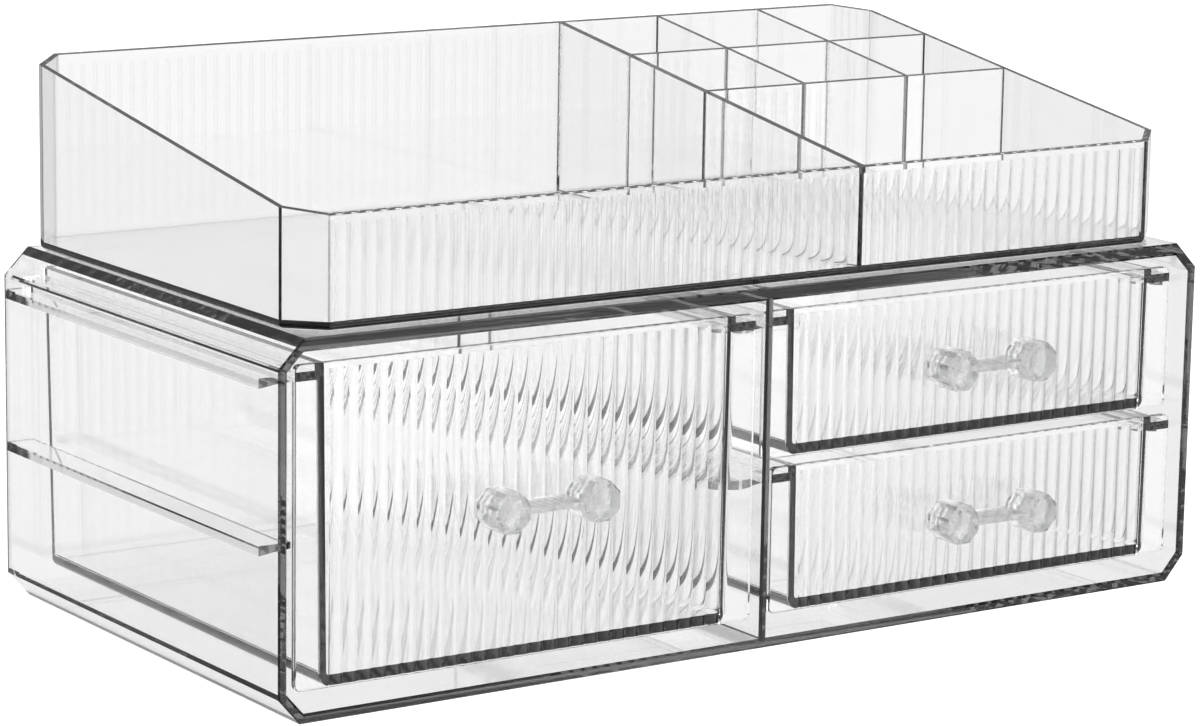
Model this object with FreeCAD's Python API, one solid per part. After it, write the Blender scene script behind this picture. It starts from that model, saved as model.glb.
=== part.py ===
import FreeCAD, Part
import math
import os
from collections import namedtuple

from FreeCAD import Vector

# Clear moulded vanity organizer: a housing with one large and two small drawers, and a
# compartment tray that lies on top. Each drawer has a glued handle of two knobs and a bar.
# Frame: millimetres, +X to the right, +Y to the back, +Z up. The origin is the centre of
# the housing's footprint, on the surface that it stands on.

# --- housing -------------------------------------------------------------------------
WIDTH = 330.0              # housing, outside
DEPTH = 171.0              # housing, outside
HOUSING_TOP = 108.7
WALL = 2.8                 # sides, floor and back
TOP_WALL = 3.9
DIVIDER = 2.6              # upright wall between the two drawer bays
TOP_CHAMFER = (8.0, 8.1)   # long upper edges of the housing, across and down
BOTTOM_CHAMFER = (6.9, 7.8)    # long lower edges, across and up
FRONT_BEVEL = 0.5          # round the outside of the front rim
MOUTH_BEVEL = 0.7          # round the mouth of each bay
BACK_RADIUS = 5.0          # outer edges of the back

# --- rails on which the drawers hang ----------------------------------------------------
RAIL_WIDTH = 8.4
RAIL_ROOT = 2.9            # thickness at the wall
RAIL_TIP = 1.8             # thickness at the free edge
RAIL_SETBACK = 13.1        # front end of a rail, behind the housing's front
UPPER_RAIL_TOP = 95.9
MIDDLE_RAIL_TOP = 48.65

# --- drawers ---------------------------------------------------------------------------
DRAWER_WIDTH = 139.0       # tub, outside, at its top
DRAWER_DEPTH = 164.4
EAR_WIDTH = 8.0            # side flange that rests on a rail
EAR_THICKNESS = 2.6
EAR_CLEARANCE = 0.15       # above the rail
RIM_HEIGHT = 4.8           # from the underside of the ear to the top of the drawer
RIM_SWELL = 1.3            # the wall above the ear is this much thicker
LARGE_HEIGHT = 92.2
SMALL_HEIGHT = 44.4
PANEL = 2.0                # front panel thickness
PANEL_CORNER = 2.0         # radius of the panel's four corners
PANEL_EDGE = 0.4           # radius round the panel's front outline
DRAWER_WALL = 1.6          # sides and back
DRAWER_FLOOR = 3.1
DRAFT = 0.011              # the tub narrows by this much per millimetre downwards
TUB_RISE = 0.2             # underside of the tub, above the panel's lower edge
TUB_RADIUS = 2.5           # lower edges of the tub
TUB_CORNER = 2.0           # upright back corners of the tub
PANEL_FILLET = 1.2         # between the panel's back and the tub's sides
INNER_RADIUS = 1.0         # inner edges of the drawer, except those at its front

# Where each drawer lies in its bay: a drawer has play to both sides and to the back.
LARGE_PLAY = (0.6, 2.0)    # off the middle of the bay, and behind the housing's front
UPPER_PLAY = (-2.2, 3.2)
LOWER_PLAY = (-0.5, 2.6)

# --- reeded faces ------------------------------------------------------------------------
REED_PITCH = 4.757
REED_DEPTH = 0.7           # from the crest of a reed to the bottom of the groove
REED_RECESS = 0.05         # crest below the plain border
REED_BORDER = 1.8          # plain border above the reeds
DRAWER_REEDS = 28
TRAY_REEDS = 61

# --- handles -----------------------------------------------------------------------------
KNOB_PITCH = 30.3
KNOB_FLATS = 11.7          # across the flats of the octagonal knob
KNOB_LENGTH = 13.0
KNOB_FRONT_BEVEL = 1.3
KNOB_BACK_BEVEL = 1.5
NECK_LENGTH = 1.8          # stands the knob off the front panel
NECK_RADIUS = 3.2
STUD_RADIUS = 2.0          # glued into the front panel
STUD_HOLE_RADIUS = 2.05
STUD_LENGTH = 2.0
BAR_THICKNESS = 1.6
BAR_BACK = 0.8             # bar's back edge, in front of the knob's back end
BAR_FRONT = 1.4            # bar's front edge, behind the knob's front end
LARGE_HANDLE_DROP = 46.1   # knob's middle, below the top of the drawer
SMALL_HANDLE_DROP = 21.9

# --- tray ----------------------------------------------------------------------------------
TRAY_WIDTH = 313.8
TRAY_DEPTH = 165.0
TRAY_SETBACK = 4.05        # tray's front, behind the housing's front
TRAY_GAP = 0.1             # between the tray and the housing's top
TRAY_BACK_HEIGHT = 57.8
TRAY_FRONT_HEIGHT = 32.2
TRAY_CORNER = 10.3         # chamfer of the upright corners
TRAY_WALL = 1.8
TRAY_FRONT_WALL = 2.2
TRAY_FLOOR = 2.4
TRAY_BOTTOM_RADIUS = 2.2
MAIN_DIVIDER_X = 36.2      # middle of the divider between the two halves of the tray
MAIN_DIVIDER = 2.4
CELL_DIVIDER = 1.6
CELL_DIVIDER_X = (74.5, 115.3)
CELL_DIVIDER_BACK = (41.0, 83.0)   # distance of each cross divider from the tray's back

FRONT = -DEPTH / 2
BACK = DEPTH / 2
BAY_BACK = BACK - WALL
BAY_OUTER = WIDTH / 2 - WALL
BAY_INNER = DIVIDER / 2
BAY_CENTRE = (BAY_OUTER + BAY_INNER) / 2
CUT = 5.0                  # how far a cutting solid runs past the face it cuts
ROOT = 0.2                 # how far a rail is sunk into the wall it grows from
SAME = 1e-6                # two coordinates closer than this are the same

Place = namedtuple("Place", "x front top height knob_z")


def prism_y(points, y_start, y_end):
    """Solid with the outline points (x, z), from y_start to y_end."""
    corners = [Vector(x, y_start, z) for x, z in points]
    wire = Part.makePolygon(corners + corners[:1])
    return Part.Face(wire).extrude(Vector(0, y_end - y_start, 0))


def prism_z(points, z_start, z_end):
    """Solid with the outline points (x, y), from z_start to z_end."""
    corners = [Vector(x, y, z_start) for x, y in points]
    wire = Part.makePolygon(corners + corners[:1])
    return Part.Face(wire).extrude(Vector(0, 0, z_end - z_start))


def block(x_range, y_range, z_range):
    """Box between two values on each axis."""
    ranges = (x_range, y_range, z_range)
    size = [max(pair) - min(pair) for pair in ranges]
    corner = [min(pair) for pair in ranges]
    return Part.makeBox(*size, Vector(*corner))


def moved_y(shape, distance):
    copy = shape.copy()
    copy.translate(Vector(0, distance, 0))
    return copy


def edges_at_y(shape, y):
    """Edges that lie wholly in the plane at y."""
    return [e for e in shape.Edges
            if abs(e.BoundBox.YMin - y) < SAME and abs(e.BoundBox.YMax - y) < SAME]


def edges_at_z(shape, z):
    """Edges that lie wholly in the plane at z."""
    return [e for e in shape.Edges
            if abs(e.BoundBox.ZMin - z) < SAME and abs(e.BoundBox.ZMax - z) < SAME]


def reed_cutter(x_centre, count, face_y, z_range):
    """Solid that leaves `count` half-round reeds when cut from a face at face_y."""
    left = x_centre - count * REED_PITCH / 2
    right = left + count * REED_PITCH
    crest = face_y + REED_RECESS
    groove = crest + REED_DEPTH
    z_low, z_high = z_range
    outside = face_y - CUT
    wire = [Part.makeLine(Vector(left, outside, z_low), Vector(left, groove, z_low))]
    for index in range(count):
        start = Vector(left + index * REED_PITCH, groove, z_low)
        middle = Vector(left + (index + 0.5) * REED_PITCH, crest, z_low)
        end = Vector(left + (index + 1) * REED_PITCH, groove, z_low)
        wire.append(Part.Arc(start, middle, end).toShape())
    wire.append(Part.makeLine(Vector(right, groove, z_low), Vector(right, outside, z_low)))
    wire.append(Part.makeLine(Vector(right, outside, z_low), Vector(left, outside, z_low)))
    return Part.Face(Part.Wire(wire)).extrude(Vector(0, 0, z_high - z_low))


def housing_outline():
    """Octagon of the housing in (x, z)."""
    half = WIDTH / 2
    low_across, low_up = BOTTOM_CHAMFER
    high_across, high_down = TOP_CHAMFER
    right = [(half - low_across, 0), (half, low_up), (half, HOUSING_TOP - high_down),
             (half - high_across, HOUSING_TOP)]
    left = [(-x, z) for x, z in reversed(right)]
    return right + left


def bay(side):
    """Hollow of one drawer bay, with the bevel round its mouth; side is +1 or -1 along X."""
    section = prism_y(housing_outline(), FRONT, BACK).Faces
    front_face = [face for face in section if abs(face.BoundBox.YMax - FRONT) < SAME][0]
    inside = front_face.makeOffset2D(-WALL, 2)
    limits = block((side * BAY_INNER, side * WIDTH), (FRONT - CUT, FRONT + CUT),
                   (0, HOUSING_TOP - TOP_WALL))
    mouth = inside.common(limits).Faces[0]
    hollow = mouth.extrude(Vector(0, BAY_BACK - FRONT, 0))
    flare = Part.makeLoft([mouth.OuterWire.makeOffset2D(MOUTH_BEVEL, 2),
                           moved_y(mouth.OuterWire, MOUTH_BEVEL)], True)
    return hollow.fuse(flare)


def rail(wall_x, inward, top):
    """Rail that grows from the wall at wall_x; inward is +1 or -1 along X."""
    tip_x = wall_x + inward * RAIL_WIDTH
    root_x = wall_x - inward * ROOT
    points = [(root_x, top), (tip_x, top), (tip_x, top - RAIL_TIP), (root_x, top - RAIL_ROOT)]
    return prism_y(points, FRONT + RAIL_SETBACK, BAY_BACK + ROOT)


def make_housing():
    shell = prism_y(housing_outline(), FRONT, BACK)
    shell = shell.makeChamfer(FRONT_BEVEL, edges_at_y(shell, FRONT))
    shell = shell.makeFillet(BACK_RADIUS, edges_at_y(shell, BACK))
    shell = shell.cut(bay(1)).cut(bay(-1))
    rails = []
    for top in (UPPER_RAIL_TOP, MIDDLE_RAIL_TOP):
        for side in (-1, 1):
            rails.append(rail(side * BAY_OUTER, -side, top))
            rails.append(rail(side * BAY_INNER, side, top))
    return shell.fuse(rails).removeSplitter()


def edges_along(shape, axis, keep):
    """Edges that run along an axis ("X", "Y" or "Z") and whose box passes the test keep."""
    others = [name for name in "XYZ" if name != axis]
    found = []
    for edge in shape.Edges:
        box = edge.BoundBox
        thin = all(getattr(box, name + "Length") < SAME for name in others)
        if thin and keep(box):
            found.append(edge)
    return found


def drawer_panel(place):
    """Flat front of a drawer, which reaches out to both sides as far as the ears."""
    half = DRAWER_WIDTH / 2 + EAR_WIDTH
    panel = block((place.x - half, place.x + half), (place.front, place.front + PANEL),
                  (place.top - place.height, place.top))
    panel = panel.makeFillet(PANEL_CORNER, edges_along(panel, "Y", lambda box: True))
    return panel.makeFillet(PANEL_EDGE, edges_at_y(panel, place.front))


def tapered_block(x_range, y_range, z_range):
    """Box that narrows downwards by the draft on both sides and at the back."""
    wires = []
    for z in z_range:
        inset = DRAFT * (z_range[1] - z)
        left, right = x_range[0] + inset, x_range[1] - inset
        front, back = y_range[0], y_range[1] - inset
        corners = [Vector(left, front, z), Vector(right, front, z),
                   Vector(right, back, z), Vector(left, back, z)]
        wires.append(Part.makePolygon(corners + corners[:1]))
    return Part.makeLoft(wires, True, True)


def upright_edges(shape):
    """Edges that climb through the whole height of a tapered block."""
    height = shape.BoundBox.ZLength
    return [edge for edge in shape.Edges if abs(edge.BoundBox.ZLength - height) < SAME]


def drawer_tub(place):
    """Outside of the drawer behind its front, with round lower edges."""
    low = place.top - place.height + TUB_RISE
    front = place.front + PANEL / 2
    half = DRAWER_WIDTH / 2
    tub = tapered_block((place.x - half, place.x + half),
                        (front, place.front + DRAWER_DEPTH), (low, place.top))
    tub = tub.makeFillet(TUB_CORNER, [e for e in upright_edges(tub) if e.BoundBox.YMin > 0])
    back = max(edge.BoundBox.YMin for edge in edges_along(tub, "X", lambda box: box.ZMax < place.top))
    return tub.makeFillet(TUB_RADIUS, [
        *edges_along(tub, "Y", lambda box: abs(box.ZMax - low) < SAME),
        *edges_along(tub, "X", lambda box: abs(box.ZMax - low) < SAME and abs(box.YMin - back) < SAME),
    ])


def drawer_hollow(place):
    """Inside of a drawer, with its inner edges rounded except at the front."""
    low = place.top - place.height + TUB_RISE + DRAWER_FLOOR
    half = DRAWER_WIDTH / 2 - DRAWER_WALL
    back = place.front + DRAWER_DEPTH - DRAWER_WALL
    hollow = tapered_block((place.x - half, place.x + half), (place.front + PANEL, back),
                           (low, place.top))
    behind = place.front + DRAWER_DEPTH / 2
    rounded = [edge for edge in upright_edges(hollow) if edge.BoundBox.YMin > behind]
    rounded += edges_along(hollow, "Y", lambda box: abs(box.ZMax - low) < SAME)
    rounded += edges_along(hollow, "X", lambda box: abs(box.ZMax - low) < SAME and box.YMin > behind)
    hollow = hollow.makeFillet(INNER_RADIUS, rounded)
    mouth = [face for face in hollow.Faces if abs(face.BoundBox.ZMin - place.top) < SAME][0]
    return hollow.fuse(mouth.extrude(Vector(0, 0, CUT)))


def panel_fillets(place):
    """Round fillings of the two upright corners between the panel's back and the tub."""
    low = place.top - place.height + TUB_RISE + TUB_RADIUS
    climb = place.top - RIM_HEIGHT - low
    lean = DRAFT * climb
    half = DRAWER_WIDTH / 2 - DRAFT * (place.top - low)
    y = place.front + PANEL
    fillings = []
    for side in (-1, 1):
        wall_x = place.x + side * half
        root_x = wall_x - side * DRAWER_WALL / 2
        out_x = wall_x + side * PANEL_FILLET
        centre = Vector(out_x, y + PANEL_FILLET, low)
        reach = PANEL_FILLET / math.sqrt(2)
        middle = centre - Vector(side * reach, reach, 0)
        start = Vector(out_x, y, low)
        end = Vector(wall_x, y + PANEL_FILLET, low)
        rest = [end, Vector(root_x, y + PANEL_FILLET, low), Vector(root_x, y - PANEL / 2, low),
                Vector(out_x, y - PANEL / 2, low), start]
        lines = [Part.makeLine(a, b) for a, b in zip(rest, rest[1:])]
        wire = Part.Wire([Part.Arc(start, middle, end).toShape(), *lines])
        fillings.append(Part.Face(wire).extrude(Vector(side * lean, 0, climb)))
    return fillings


def drawer_ears(place):
    """Flanges that hang on the rails, and the thicker rim above them."""
    low = place.top - RIM_HEIGHT
    back = place.front + DRAWER_DEPTH - TUB_CORNER
    ears = []
    for side in (-1, 1):
        wall_x = place.x + side * DRAWER_WIDTH / 2
        root = wall_x - side * DRAWER_WALL / 2
        ears.append(block((root, wall_x + side * EAR_WIDTH), (place.front + PANEL / 2, back),
                          (low, low + EAR_THICKNESS)))
        ears.append(block((root, wall_x + side * RIM_SWELL), (place.front + PANEL / 2, back),
                          (low, place.top)))
    return ears


def knob_centres(place):
    return (place.x - KNOB_PITCH / 2, place.x + KNOB_PITCH / 2)


def make_drawer(place):
    additions = [drawer_panel(place), *panel_fillets(place), *drawer_ears(place)]
    drawer = drawer_tub(place).fuse(additions)
    drawer = drawer.cut(drawer_hollow(place))
    reeded = (place.top - place.height - CUT, place.top - REED_BORDER)
    drawer = drawer.cut(reed_cutter(place.x, DRAWER_REEDS, place.front, reeded))
    for x in knob_centres(place):
        start = Vector(x, place.front - CUT, place.knob_z)
        hole = Part.makeCylinder(STUD_HOLE_RADIUS, PANEL + 2 * CUT, start, Vector(0, 1, 0))
        drawer = drawer.cut(hole)
    return drawer.removeSplitter()


def octagon_wire(flats, x, z, y):
    """Upright octagon round (x, z) at y, with a flat on top and at each side."""
    radius = flats / 2 / math.cos(math.pi / 8)
    angles = [math.pi / 8 + index * math.pi / 4 for index in range(8)]
    corners = [Vector(x + radius * math.cos(a), y, z + radius * math.sin(a)) for a in angles]
    return Part.makePolygon(corners + corners[:1])


def knob(x, z, panel_y):
    """Faceted knob with its neck and the stud that goes into the front panel."""
    back = panel_y - NECK_LENGTH
    front = back - KNOB_LENGTH
    sections = [
        octagon_wire(KNOB_FLATS - 2 * KNOB_BACK_BEVEL, x, z, back),
        octagon_wire(KNOB_FLATS, x, z, back - KNOB_BACK_BEVEL),
        octagon_wire(KNOB_FLATS, x, z, front + KNOB_FRONT_BEVEL),
        octagon_wire(KNOB_FLATS - 2 * KNOB_FRONT_BEVEL, x, z, front),
    ]
    body = Part.makeLoft(sections, True, True)
    forward = Vector(0, -1, 0)
    neck_start = Vector(x, panel_y, z)
    neck = Part.makeCylinder(NECK_RADIUS, NECK_LENGTH + KNOB_BACK_BEVEL, neck_start, forward)
    stud_start = Vector(x, panel_y + STUD_LENGTH, z)
    stud = Part.makeCylinder(STUD_RADIUS, STUD_LENGTH + NECK_LENGTH, stud_start, forward)
    return body.fuse([neck, stud])


def make_handle(place):
    """One moulding: two knobs joined by a flat bar."""
    left, right = knob_centres(place)
    knob_back = place.front - NECK_LENGTH
    knob_front = knob_back - KNOB_LENGTH
    bar = block((left, right), (knob_front + BAR_FRONT, knob_back - BAR_BACK),
                (place.knob_z - BAR_THICKNESS / 2, place.knob_z + BAR_THICKNESS / 2))
    knobs = [knob(x, place.knob_z, place.front) for x in (left, right)]
    return bar.fuse(knobs).removeSplitter()


def tray_outline(inset, front_inset):
    """Footprint of the tray with its four corners cut off, in (x, y)."""
    half = TRAY_WIDTH / 2 - inset
    front = FRONT + TRAY_SETBACK + front_inset
    back = FRONT + TRAY_SETBACK + TRAY_DEPTH - inset
    corner = TRAY_CORNER - inset * (2 - math.sqrt(2))
    return [(-half + corner, front), (half - corner, front), (half, front + corner),
            (half, back - corner), (half - corner, back), (-half + corner, back),
            (-half, back - corner), (-half, front + corner)]


def above_tray():
    """Everything above the sloping rim of the tray."""
    front = FRONT + TRAY_SETBACK
    back = front + TRAY_DEPTH
    rise = (TRAY_BACK_HEIGHT - TRAY_FRONT_HEIGHT) / TRAY_DEPTH
    base = HOUSING_TOP + TRAY_GAP
    z_front = base + TRAY_FRONT_HEIGHT - rise * CUT
    z_back = base + TRAY_BACK_HEIGHT + rise * CUT
    ceiling = base + TRAY_BACK_HEIGHT + 4 * CUT
    corners = [(front - CUT, z_front), (back + CUT, z_back), (back + CUT, ceiling),
               (front - CUT, ceiling)]
    points = [Vector(-TRAY_WIDTH, y, z) for y, z in corners]
    face = Part.Face(Part.makePolygon(points + points[:1]))
    return face.extrude(Vector(2 * TRAY_WIDTH, 0, 0))


def make_tray():
    base = HOUSING_TOP + TRAY_GAP
    top = base + TRAY_BACK_HEIGHT + CUT
    front = FRONT + TRAY_SETBACK
    back = front + TRAY_DEPTH
    outside = prism_z(tray_outline(0, 0), base, top)
    outside = outside.makeFillet(TRAY_BOTTOM_RADIUS, edges_at_z(outside, base))
    hollow = prism_z(tray_outline(TRAY_WALL, TRAY_FRONT_WALL), base + TRAY_FLOOR, top)
    walls = []
    left = MAIN_DIVIDER_X - MAIN_DIVIDER / 2
    right = MAIN_DIVIDER_X + MAIN_DIVIDER / 2
    walls.append(block((left, right), (front, back), (base, top)))
    rows = [back - distance for distance in CELL_DIVIDER_BACK]
    half = CELL_DIVIDER / 2
    for row in rows:
        walls.append(block((MAIN_DIVIDER_X, TRAY_WIDTH / 2), (row - half, row + half), (base, top)))
    for column in CELL_DIVIDER_X:
        walls.append(block((column - half, column + half), (rows[-1], back), (base, top)))
    for wall in walls:
        hollow = hollow.cut(wall)
    tray = outside.cut(hollow).cut(above_tray())
    reeded = (base + TRAY_BOTTOM_RADIUS, base + TRAY_FRONT_HEIGHT - REED_BORDER)
    return tray.cut(reed_cutter(0, TRAY_REEDS, front, reeded)).removeSplitter()


def make_parts():
    upper_top = UPPER_RAIL_TOP + EAR_CLEARANCE + RIM_HEIGHT
    lower_top = MIDDLE_RAIL_TOP + EAR_CLEARANCE + RIM_HEIGHT
    drawers = {
        "large": (-BAY_CENTRE, LARGE_PLAY, upper_top, LARGE_HEIGHT, LARGE_HANDLE_DROP),
        "upper": (BAY_CENTRE, UPPER_PLAY, upper_top, SMALL_HEIGHT, SMALL_HANDLE_DROP),
        "lower": (BAY_CENTRE, LOWER_PLAY, lower_top, SMALL_HEIGHT, SMALL_HANDLE_DROP),
    }
    parts = {"housing": make_housing(), "tray": make_tray()}
    for name, (bay_x, play, top, height, handle_drop) in drawers.items():
        place = Place(bay_x + play[0], FRONT + play[1], top, height, top - handle_drop)
        parts[name + "_drawer"] = make_drawer(place)
        parts[name + "_handle"] = make_handle(place)
    return parts


os.makedirs("parts", exist_ok=True)
for node, shape in make_parts().items():
    shape.exportStep(f"parts/{node}.step")
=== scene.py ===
import bpy
import math
from mathutils import Matrix, Vector

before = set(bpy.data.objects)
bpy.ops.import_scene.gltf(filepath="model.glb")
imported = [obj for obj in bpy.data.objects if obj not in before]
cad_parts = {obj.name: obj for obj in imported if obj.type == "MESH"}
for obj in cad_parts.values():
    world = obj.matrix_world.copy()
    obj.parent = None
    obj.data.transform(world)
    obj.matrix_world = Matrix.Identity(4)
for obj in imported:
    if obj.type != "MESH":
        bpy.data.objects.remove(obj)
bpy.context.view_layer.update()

# --- plastics --------------------------------------------------------------------------------
ACRYLIC_IOR = 1.49
GRAIN_DETAIL = 3
GRAIN_DEPTH = 0.0005                      # metres, at a ripple of 1
ABSORPTION_COLOR = (0.1, 0.1, 0.1, 1)     # absorption per metre is 0.9 times the density
POLISHED = {"tint": (1, 1, 1), "roughness": (0.0, 0.02), "grain": (18, 18, 18), "ripple": 0.01}
STREAKED = {"tint": (0.93, 0.935, 0.94), "roughness": (0.05, 0.3), "grain": (900, 25, 900),
            "ripple": 0.4}


def clear_plastic(name, absorption, tint, roughness, grain, ripple):
    """Clear moulded plastic. `grain` is the fineness of its surface along each axis, per metre."""
    material = bpy.data.materials.new(name)
    material.use_nodes = True
    nodes = material.node_tree.nodes
    links = material.node_tree.links
    shader = nodes["Principled BSDF"]
    shader.inputs["Base Color"].default_value = (*tint, 1)
    shader.inputs["Transmission Weight"].default_value = 1
    shader.inputs["IOR"].default_value = ACRYLIC_IOR
    position = nodes.new("ShaderNodeTexCoord")
    stretch = nodes.new("ShaderNodeMapping")
    stretch.inputs["Scale"].default_value = grain
    surface = nodes.new("ShaderNodeTexNoise")
    surface.inputs["Scale"].default_value = 1
    surface.inputs["Detail"].default_value = GRAIN_DETAIL
    spread = nodes.new("ShaderNodeMapRange")
    spread.inputs["To Min"].default_value = roughness[0]
    spread.inputs["To Max"].default_value = roughness[1]
    bump = nodes.new("ShaderNodeBump")
    bump.inputs["Strength"].default_value = ripple
    bump.inputs["Distance"].default_value = GRAIN_DEPTH
    links.new(position.outputs["Object"], stretch.inputs["Vector"])
    links.new(stretch.outputs["Vector"], surface.inputs["Vector"])
    links.new(surface.outputs["Fac"], spread.inputs["Value"])
    links.new(spread.outputs["Result"], shader.inputs["Roughness"])
    links.new(surface.outputs["Fac"], bump.inputs["Height"])
    links.new(bump.outputs["Normal"], shader.inputs["Normal"])
    volume = nodes.new("ShaderNodeVolumeAbsorption")
    volume.inputs["Color"].default_value = ABSORPTION_COLOR
    volume.inputs["Density"].default_value = absorption
    links.new(volume.outputs["Volume"], nodes["Material Output"].inputs["Volume"])
    return material


# Each plastic goes to the nodes whose name ends with its key.
PLASTICS = {"housing": clear_plastic("clear_plastic", 8.5, **POLISHED),
            "tray": clear_plastic("tray_plastic", 18, **POLISHED),
            "drawer": clear_plastic("drawer_plastic", 14, **POLISHED),
            "handle": clear_plastic("handle_plastic", 10, **STREAKED)}

for name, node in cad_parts.items():
    node.data.materials.clear()
    node.data.materials.append(PLASTICS[name.split("_")[-1]])

# --- floor -----------------------------------------------------------------------------------
FLOOR_HALF = 6.0                          # metres
FLOOR_COLOR = (0.3, 0.3, 0.3, 1)
FLOOR_ROUGHNESS = 0.9
FLOOR_GLOW = 0.95


def make_floor():
    """Plain white table. The plastic is lit by the studio alone, not by the table."""
    mesh = bpy.data.meshes.new("floor")
    corners = [(-FLOOR_HALF, -FLOOR_HALF, 0), (FLOOR_HALF, -FLOOR_HALF, 0),
               (FLOOR_HALF, FLOOR_HALF, 0), (-FLOOR_HALF, FLOOR_HALF, 0)]
    mesh.from_pydata(corners, [], [(0, 1, 2, 3)])
    floor = bpy.data.objects.new("floor", mesh)
    bpy.context.collection.objects.link(floor)
    material = bpy.data.materials.new("floor_paper")
    material.use_nodes = True
    shader = material.node_tree.nodes["Principled BSDF"]
    shader.inputs["Base Color"].default_value = FLOOR_COLOR
    shader.inputs["Roughness"].default_value = FLOOR_ROUGHNESS
    shader.inputs["Emission Color"].default_value = (1, 1, 1, 1)
    shader.inputs["Emission Strength"].default_value = FLOOR_GLOW
    mesh.materials.append(material)
    floor.visible_transmission = False
    floor.visible_glossy = False
    floor.visible_diffuse = False


# --- studio ----------------------------------------------------------------------------------
# Levels are strengths of the world's light. Azimuths are turned from +Y towards +X.
BRIGHT_LEVEL = 0.92                       # on the side that the camera looks towards
DIM_LEVEL = 0.05                          # at the unlit sides
FRONT_LEVEL = 1.9                         # behind the camera
CEILING_LEVEL = 0.9
BRIGHT_AZIMUTH = math.radians(8)
BRIGHT_HALF_WIDTH = math.radians(48)
BRIGHT_FADE = math.radians(18)
FRONT_START = math.radians(105)           # off +Y, to both sides
FRONT_FULL = math.radians(130)
CEILING_START = 0.45                      # rise of the direction: 0 is level, 1 is straight up
CEILING_FULL = 0.8


def make_studio():
    """World lit by direction: bright beyond the object, behind the camera and above, dim beside it."""
    world = bpy.data.worlds.new("studio")
    world.use_nodes = True
    bpy.context.scene.world = world
    nodes = world.node_tree.nodes
    links = world.node_tree.links
    background = nodes["Background"]

    def feed(socket, value):
        if isinstance(value, (int, float)):
            socket.default_value = value
        else:
            links.new(value, socket)

    def calculate(operation, *values):
        node = nodes.new("ShaderNodeMath")
        node.operation = operation
        for socket, value in zip(node.inputs, values):
            feed(socket, value)
        return node.outputs[0]

    def fade(value, start, end, before, after):
        node = nodes.new("ShaderNodeMapRange")
        node.interpolation_type = "SMOOTHSTEP"
        feed(node.inputs["Value"], value)
        feed(node.inputs["From Min"], start)
        feed(node.inputs["From Max"], end)
        feed(node.inputs["To Min"], before)
        feed(node.inputs["To Max"], after)
        return node.outputs["Result"]

    direction = nodes.new("ShaderNodeTexCoord")
    parts = nodes.new("ShaderNodeSeparateXYZ")
    links.new(direction.outputs["Generated"], parts.inputs[0])
    azimuth = calculate("ARCTAN2", parts.outputs["X"], parts.outputs["Y"])
    off_bright = calculate("ABSOLUTE", calculate("SUBTRACT", azimuth, BRIGHT_AZIMUTH))
    level = fade(off_bright, BRIGHT_HALF_WIDTH, BRIGHT_HALF_WIDTH + BRIGHT_FADE,
                 BRIGHT_LEVEL, DIM_LEVEL)
    level = fade(calculate("ABSOLUTE", azimuth), FRONT_START, FRONT_FULL, level, FRONT_LEVEL)
    level = fade(parts.outputs["Z"], CEILING_START, CEILING_FULL, level, CEILING_LEVEL)
    links.new(level, background.inputs["Strength"])
    background.inputs["Color"].default_value = (1, 1, 1, 1)


# --- camera ----------------------------------------------------------------------------------
CAMERA_TARGET = Vector((0.00774, 0.0145, 0.0679))
CAMERA_AZIMUTH = math.radians(-34.13)     # from the front, -Y, towards +X
CAMERA_ELEVATION = math.radians(11.38)
CAMERA_ROLL = math.radians(0.91)
CAMERA_DISTANCE = 1.3348
FOCAL_PIXELS = 4256.2
IMAGE_WIDTH = 1200
SENSOR = 36                               # millimetres
CLIP_END = 20                             # metres


def make_camera():
    """Camera at the photograph's viewing angle, solved from corners of the housing and the tray."""
    data = bpy.data.cameras.new("camera")
    data.sensor_width = SENSOR
    data.lens = FOCAL_PIXELS * SENSOR / IMAGE_WIDTH
    camera = bpy.data.objects.new("camera", data)
    bpy.context.collection.objects.link(camera)
    flat = math.cos(CAMERA_ELEVATION)
    back = Vector((math.sin(CAMERA_AZIMUTH) * flat, -math.cos(CAMERA_AZIMUTH) * flat,
                   math.sin(CAMERA_ELEVATION)))
    right = (-back).cross(Vector((0, 0, 1))).normalized()
    up = right.cross(-back)
    tilted_right = math.cos(CAMERA_ROLL) * right + math.sin(CAMERA_ROLL) * up
    tilted_up = -math.sin(CAMERA_ROLL) * right + math.cos(CAMERA_ROLL) * up
    axes = Matrix((tilted_right, tilted_up, back)).transposed().to_4x4()
    camera.matrix_world = Matrix.Translation(CAMERA_TARGET + back * CAMERA_DISTANCE) @ axes
    data.clip_end = CLIP_END
    bpy.context.scene.camera = camera


# --- picture ---------------------------------------------------------------------------------
BOUNCES = 64                              # light runs far along the clear walls before it leaves
TRANSPARENT_BOUNCES = 32
GAMMA = 0.75                              # deeper contrast, as in a product picture


def set_picture():
    """Number of light bounces, and the contrast."""
    scene = bpy.context.scene
    scene.cycles.max_bounces = BOUNCES
    scene.cycles.transmission_bounces = BOUNCES
    scene.cycles.glossy_bounces = BOUNCES
    scene.cycles.transparent_max_bounces = TRANSPARENT_BOUNCES
    scene.view_settings.view_transform = "Standard"
    scene.view_settings.gamma = GAMMA


make_floor()
make_studio()
make_camera()
set_picture()
